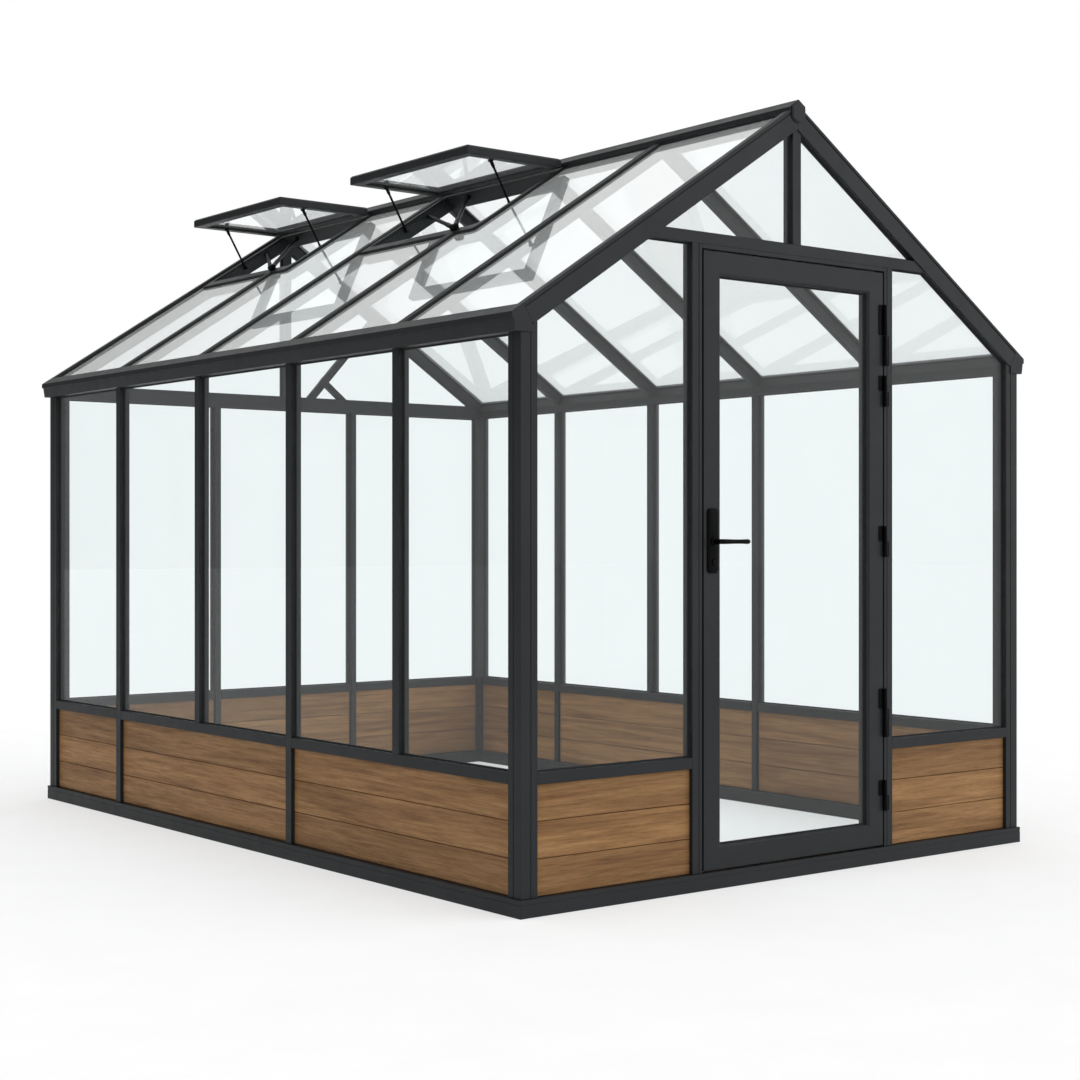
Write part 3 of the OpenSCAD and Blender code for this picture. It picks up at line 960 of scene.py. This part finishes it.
def build_vent_openers():
    """Opener on each vent's sill: a round pivot box and two arms with end joints."""
    thick, slim = 0.0095, 0.0078
    pivot_r = 0.014
    sleeve = 0.14
    piece = Piece()
    for solid in islands("vent_openers"):
        lo, hi = span(solid)
        points = [p for face in solid for p in face]
        near_pivot = [p.y for p in points if p.x < lo.x + 0.020]
        foot = Vector((lo.x + pivot_r, (min(near_pivot) + max(near_pivot)) / 2, lo.z + pivot_r))
        aside = [p for p in points if p.y > hi.y - 0.003]
        upper = [p for p in points if p.z > hi.z - 0.008]
        piece.tube(
            [foot - BACK * 0.018, foot - BACK * 0.014, foot + BACK * 0.014, foot + BACK * 0.018],
            [0.009, 0.012, 0.012, 0.009], 24,
        )
        for group, shift in ((aside, 0.008), (upper, -0.004)):
            end = sum(group, Vector()) / len(group)
            a = foot + BACK * shift
            way = (end - a).normalized()
            tip = end - way * 0.004
            piece.tube(
                [a, a + way * sleeve, a + way * (sleeve + 0.005), tip], [thick, thick, slim, slim], 16
            )
            piece.tube([end - way * 0.020, end - way * 0.018, tip], [0.008, 0.0105, 0.0105], 16)
    piece.place("vent_arms", HOUSE, BLACK, BLACK_SLOT, "vent_openers", edge=0.0005)


# ---- Glass and seals ----


def pane_frames():
    """Each glass node with the basis of its panes and its body."""
    for node in ("left_wall_glass", "right_wall_glass"):
        side = -1 if node.startswith("left") else 1
        out = RIGHT * side
        yield node, basis_of(Vector((0, 0, 0)), BACK * side, UP, out), HOUSE
    yield "front_wall_glass", basis_of(Vector((0, 0, 0)), RIGHT, UP, -BACK), HOUSE
    yield "back_wall_glass", basis_of(Vector((0, 0, 0)), -RIGHT, UP, BACK), HOUSE
    yield "door_glass", basis_of(Vector((0, 0, 0)), RIGHT, UP, -BACK), DOOR
    for node, side in (("left_roof_glass", -1), ("right_roof_glass", 1)):
        slope = slope_basis(side)
        along = slope.col[1].xyz * -side
        yield node, basis_of(slope.translation, slope.col[0].xyz, along, slope.col[2].xyz), HOUSE


def build_seals():
    """Black seals round every pane, in front of the glass and behind it."""
    for node, basis, body in pane_frames():
        piece = Piece()
        for solid in islands(node):
            lo, hi = span(solid, basis)
            shape = edge_loop(solid, basis)
            drawn = inset(shape, SEAL_W)
            for z, rise in ((hi.z, SEAL_D), (lo.z, -SEAL_D)):
                piece.frame(
                    [(shape, z), (shape, z + rise), (drawn, z + rise / 2), (drawn, z)], basis
                )
        piece.place(f"{node}_seals", body, RUBBER, BLACK_SLOT, edge=0)


def dress_glass():
    """Gives the model's own panes their glass."""
    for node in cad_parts:
        if node.endswith("_glass"):
            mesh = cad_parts[node].data
            mesh.materials.clear()
            mesh.materials.append(ROOF_GLASS if "roof" in node else GLASS)


# ---- Door ----


def build_door():
    """Door leaf: stiles and rails as one flush frame, with a glazing bead round the pane."""
    lo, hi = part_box("door_stiles")
    width = hi.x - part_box("door_rails")[1].x
    depth = hi.y - lo.y
    bead = 0.006
    fine = 0.0015
    corner = 0.0012
    face = basis_of(Vector((0, lo.y, 0)), RIGHT, UP, BACK)
    loops = []
    for inwards, t in (
        (0, 0), (0, depth), (width, depth), (width, bead), (width - fine, bead),
        (width - bead, fine), (width - bead - fine, fine), (width - bead - fine, 0),
    ):
        shape = rounded(
            lo.x + inwards, hi.x - inwards, lo.z + inwards, hi.z - inwards, (corner,) * 4, 1
        )
        loops.append((shape, t))
    piece = Piece()
    piece.frame(loops, face)
    piece.place("leaf_frame", DOOR, GREY, FRAME_SLOT, "door_stiles", "door_rails")


def build_door_seal():
    """Seal on the fixed frame behind the gap round the leaf."""
    jamb_lo, jamb_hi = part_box("door_jambs")
    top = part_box("door_head")[0].z
    thick = 0.004
    reach = 0.003
    y = jamb_hi.y - thick - 0.006
    shape = [(0, 0), (-reach, thick / 2), (-reach, thick), (0, thick)]
    inner = min(min(abs(lo.x), abs(hi.x)) for lo, hi in map(span, islands("door_jambs")))
    piece = Piece()
    for side in (-1, 1):
        basis = basis_of(Vector((side * inner, y, 0)), RIGHT * side, BACK, UP)
        piece.prism(shape, basis, jamb_lo.z, top)
    piece.prism(shape, basis_of(Vector((0, y, top)), UP, BACK, RIGHT), -inner, inner)
    piece.place("door_stop_seal", HOUSE, RUBBER, BLACK_SLOT, edge=0)


def barrel(piece, x, y, z0, z1, radius):
    """Hinge barrel with rounded ends and a slight belly."""
    length = z1 - z0
    end = 0.003
    steps = ((0, 0.55), (end * 0.4, 0.85), (end, 1.0), (length / 2, 1.0),
             (length - end, 1.0), (length - end * 0.4, 0.85), (length, 0.55))
    piece.tube([Vector((x, y, z0 + z)) for z, _ in steps], [radius * r for _, r in steps], 28)


def build_hinges():
    """Hinge leaves with rounded corners and screws, on the frame and on the leaf."""
    screw_r = 0.0042
    head = 0.0014
    radius = 0.007
    pin_r = 0.003
    flap = 0.003
    r = 0.005
    tight = 0.0005
    short = 0.08
    face = basis_of(Vector((0, 0, 0)), RIGHT, UP, -BACK)
    for node, body, name in (
        ("hinge_pins", HOUSE, "hinge_frame_leaves"),
        ("hinge_knuckles", DOOR, "hinge_door_leaves"),
    ):
        on_frame = node == "hinge_pins"
        piece = Piece()
        screws = Piece()
        for solid in islands(node):
            lo, hi = span(solid)
            y = lo.y + radius
            x = lo.x + radius if on_frame else hi.x - radius
            z0, z1 = lo.z, hi.z
            if on_frame:
                z1 = max(p.z for f in solid for p in f if p.x > x + radius + 0.002)
                barrel(piece, x, y, z0, z1 - 0.0004, radius)
                piece.tube([Vector((x, y, z0 + 0.01)), Vector((x, y, hi.z))], [pin_r, pin_r], 16)
                shape = rounded(x, hi.x, z0, z1, (tight, r, r, tight))
                screw_x = hi.x - r * 1.6
            else:
                barrel(piece, x, y, z0, z1, radius)
                shape = rounded(lo.x, x, z0, z1, (r, tight, tight, r))
                screw_x = lo.x + r * 1.6
            piece.prism(shape, face, -hi.y, flap - hi.y)
            count = 2 if z1 - z0 < short else 3
            for k in range(count):
                c = Vector((screw_x, hi.y - flap, z0 + (z1 - z0) * (k + 0.5) / count))
                screws.tube(
                    [c, c - BACK * 0.0008, c - BACK * head], [screw_r, screw_r, screw_r * 0.6], 20
                )
        piece.place(name, body, BLACK, BLACK_SLOT, node, edge=0.0005)
        screws.place(f"{name}_screws", body, BLACK, BLACK_SLOT, edge=0)


def build_handle():
    """Slim back plates with rounded ends and a lever with a flared grip."""
    lever_r = 0.008
    plate_r = 0.012
    lo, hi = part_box("door_handle")
    leaf_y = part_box("door_stiles")[0].y
    centre_x = lo.x + lever_r
    centre_z = (lo.z + hi.z) / 2
    start = Vector((centre_x, lo.y + lever_r, centre_z))
    stop = Vector((centre_x, hi.y - lever_r, centre_z))
    reach = hi.x - lever_r - centre_x

    plates = Piece()
    for solid in islands("handle_plates"):
        low, high = span(solid)
        front = low.y < leaf_y
        way = -1 if front else 1
        base = high.y if front else low.y
        depth = high.y - low.y
        basis = basis_of(Vector((0, base, 0)), RIGHT, UP, BACK * way)
        rings = []
        for inwards, t in ((0, 0), (0, depth * 0.45), (0.0035, depth * 0.8), (0.009, depth)):
            shape = rounded(
                low.x + inwards, high.x - inwards, low.z + inwards, high.z - inwards, (plate_r,) * 4
            )
            rings.append(plates.loop([basis @ Vector((a, b, t)) for a, b in shape]))
        for one, two in zip(rings, rings[1:]):
            plates.bridge(one, two)
        plates.bm.faces.new(rings[0])
        plates.bm.faces.new(rings[-1])
        out = BACK * way
        face_y = base + way * depth
        # Key cylinder below the lever
        key = Vector((centre_x, face_y, centre_z - 0.066))
        plates.tube([key, key + out * 0.0025, key + out * 0.004], [0.011, 0.011, 0.0095], 28)
        # Collar of the lever
        collar = Vector((centre_x, face_y, centre_z))
        plates.tube([collar, collar + out * 0.004, collar + out * 0.006], [0.0155, 0.0155, 0.0135], 32)
    plates.place("handle_back_plates", DOOR, BLACK, BLACK_SLOT, "handle_plates", edge=0.0008)

    grip = (
        (0.3, 0.92), (0.5, 0.86), (0.75, 0.86), (0.9, 0.95), (0.97, 1.0), (1.0, 0.86), (1.04, 0.45),
    )
    bend = 0.012
    bend_steps = 4
    neck = lever_r * 0.98
    lever = Piece()
    lever.tube([start, start.lerp(stop, 0.5), stop], [neck] * 3, 28)
    for root in (start, stop):
        out = (root - start.lerp(stop, 0.5)).normalized()
        points, radii = [], []
        for k in range(bend_steps + 1):
            angle = math.radians(90 * k / bend_steps)
            along = bend - bend * math.cos(angle)
            points.append(root + RIGHT * along - out * (bend - bend * math.sin(angle)))
            radii.append(neck)
        for share, r in grip:
            points.append(root + RIGHT * (reach * share))
            radii.append(lever_r * r)
        lever.tube(points, radii, 28)
    lever.place("lever_pair", HANDLE, BLACK, BLACK_SLOT, "door_handle", edge=0.0004)


# ---- Studio ----


def build_stage():
    """White floor that reaches far past the picture."""
    half = 60.0
    below = -0.0005
    mesh = bpy.data.meshes.new("floor")
    bm = bmesh.new()
    corners = ((-1, -1), (1, -1), (1, 1), (-1, 1))
    bm.faces.new([bm.verts.new((sx * half, sy * half, below)) for sx, sy in corners])
    bm.to_mesh(mesh)
    bm.free()
    mesh.materials.append(pale_floor("white_floor"))
    floor = bpy.data.objects.new("floor", mesh)
    bpy.context.scene.collection.objects.link(floor)


def build_key_light():
    """One very soft distant light from the front right, as even over the floor as the sky."""
    data = bpy.data.lights.new("key", "SUN")
    data.energy = 0.75
    data.angle = math.radians(70)
    light = bpy.data.objects.new("key", data)
    toward = Vector((-0.43, 0.765, -0.478))
    light.rotation_euler = toward.to_track_quat("-Z", "Y").to_euler()
    bpy.context.scene.collection.objects.link(light)


def build_world():
    """White surroundings, which reflections see bright at the front right and dark behind."""
    world = bpy.data.worlds.new("studio")
    bpy.context.scene.world = world
    world.use_nodes = True
    tree = world.node_tree
    tree.nodes.clear()

    def ranged(value, start, end, low, high):
        node = tree.nodes.new("ShaderNodeMapRange")
        for key, number in (("From Min", start), ("From Max", end), ("To Min", low), ("To Max", high)):
            node.inputs[key].default_value = number
        tree.links.new(value, node.inputs["Value"])
        return node.outputs["Result"]

    def mixed(factor, one, two):
        node = tree.nodes.new("ShaderNodeMix")
        tree.links.new(factor, node.inputs["Factor"])
        for socket, value in (("A", one), ("B", two)):
            if isinstance(value, float):
                node.inputs[socket].default_value = value
            else:
                tree.links.new(value, node.inputs[socket])
        return node.outputs["Result"]

    where = tree.nodes.new("ShaderNodeTexCoord")
    dot = tree.nodes.new("ShaderNodeVectorMath")
    dot.operation = "DOT_PRODUCT"
    dot.inputs[1].default_value = Vector((0.66, -0.75, 0.0)).normalized()
    tree.links.new(where.outputs["Generated"], dot.inputs[0])
    axes = tree.nodes.new("ShaderNodeSeparateXYZ")
    tree.links.new(where.outputs["Generated"], axes.inputs[0])
    level = ranged(dot.outputs["Value"], -0.7, 0.95, 0.03, 1.4)
    cap = tree.nodes.new("ShaderNodeMath")
    cap.operation = "MINIMUM"
    tree.links.new(level, cap.inputs[0])
    tree.links.new(ranged(axes.outputs["Z"], 0.0, 0.15, 1.0, 1.4), cap.inputs[1])
    level = cap.outputs[0]
    height = ranged(axes.outputs["Z"], 0.25, 0.55, 0.0, 1.0)
    level = mixed(height, level, 1.0)

    path = tree.nodes.new("ShaderNodeLightPath")
    level = mixed(path.outputs["Is Diffuse Ray"], level, 0.90)
    seen = tree.nodes.new("ShaderNodeMath")
    seen.operation = "MAXIMUM"
    tree.links.new(path.outputs["Is Camera Ray"], seen.inputs[0])
    tree.links.new(path.outputs["Is Transmission Ray"], seen.inputs[1])
    background = tree.nodes.new("ShaderNodeBackground")
    background.inputs["Color"].default_value = (1, 1, 1, 1)
    tree.links.new(mixed(seen.outputs[0], level, 1.0), background.inputs["Strength"])
    out = tree.nodes.new("ShaderNodeOutputWorld")
    tree.links.new(background.outputs[0], out.inputs["Surface"])


def build_camera():
    data = bpy.data.cameras.new("camera")
    data.lens = 63.26
    data.sensor_width = 36.0
    data.clip_end = 200.0
    camera = bpy.data.objects.new("camera", data)
    camera.location = (-4.5055, -6.003, 1.1)
    camera.rotation_euler = (math.radians(90), 0, math.radians(-38.22))
    bpy.context.scene.collection.objects.link(camera)
    bpy.context.scene.camera = camera


build_base()
build_corner_posts()
build_posts()
build_door_frame()
build_gable_bars()
build_brace()
build_sills()
build_boards()
build_eaves()
build_rafters()
build_roof_bars()
build_ridge()
build_vent_frames()
build_vent_sashes()
build_vent_stays()
build_vent_openers()
build_seals()
dress_glass()
build_door()
build_door_seal()
build_hinges()
build_handle()
build_stage()
build_world()
build_key_light()
build_camera()
bpy.context.scene.view_settings.view_transform = "Standard"
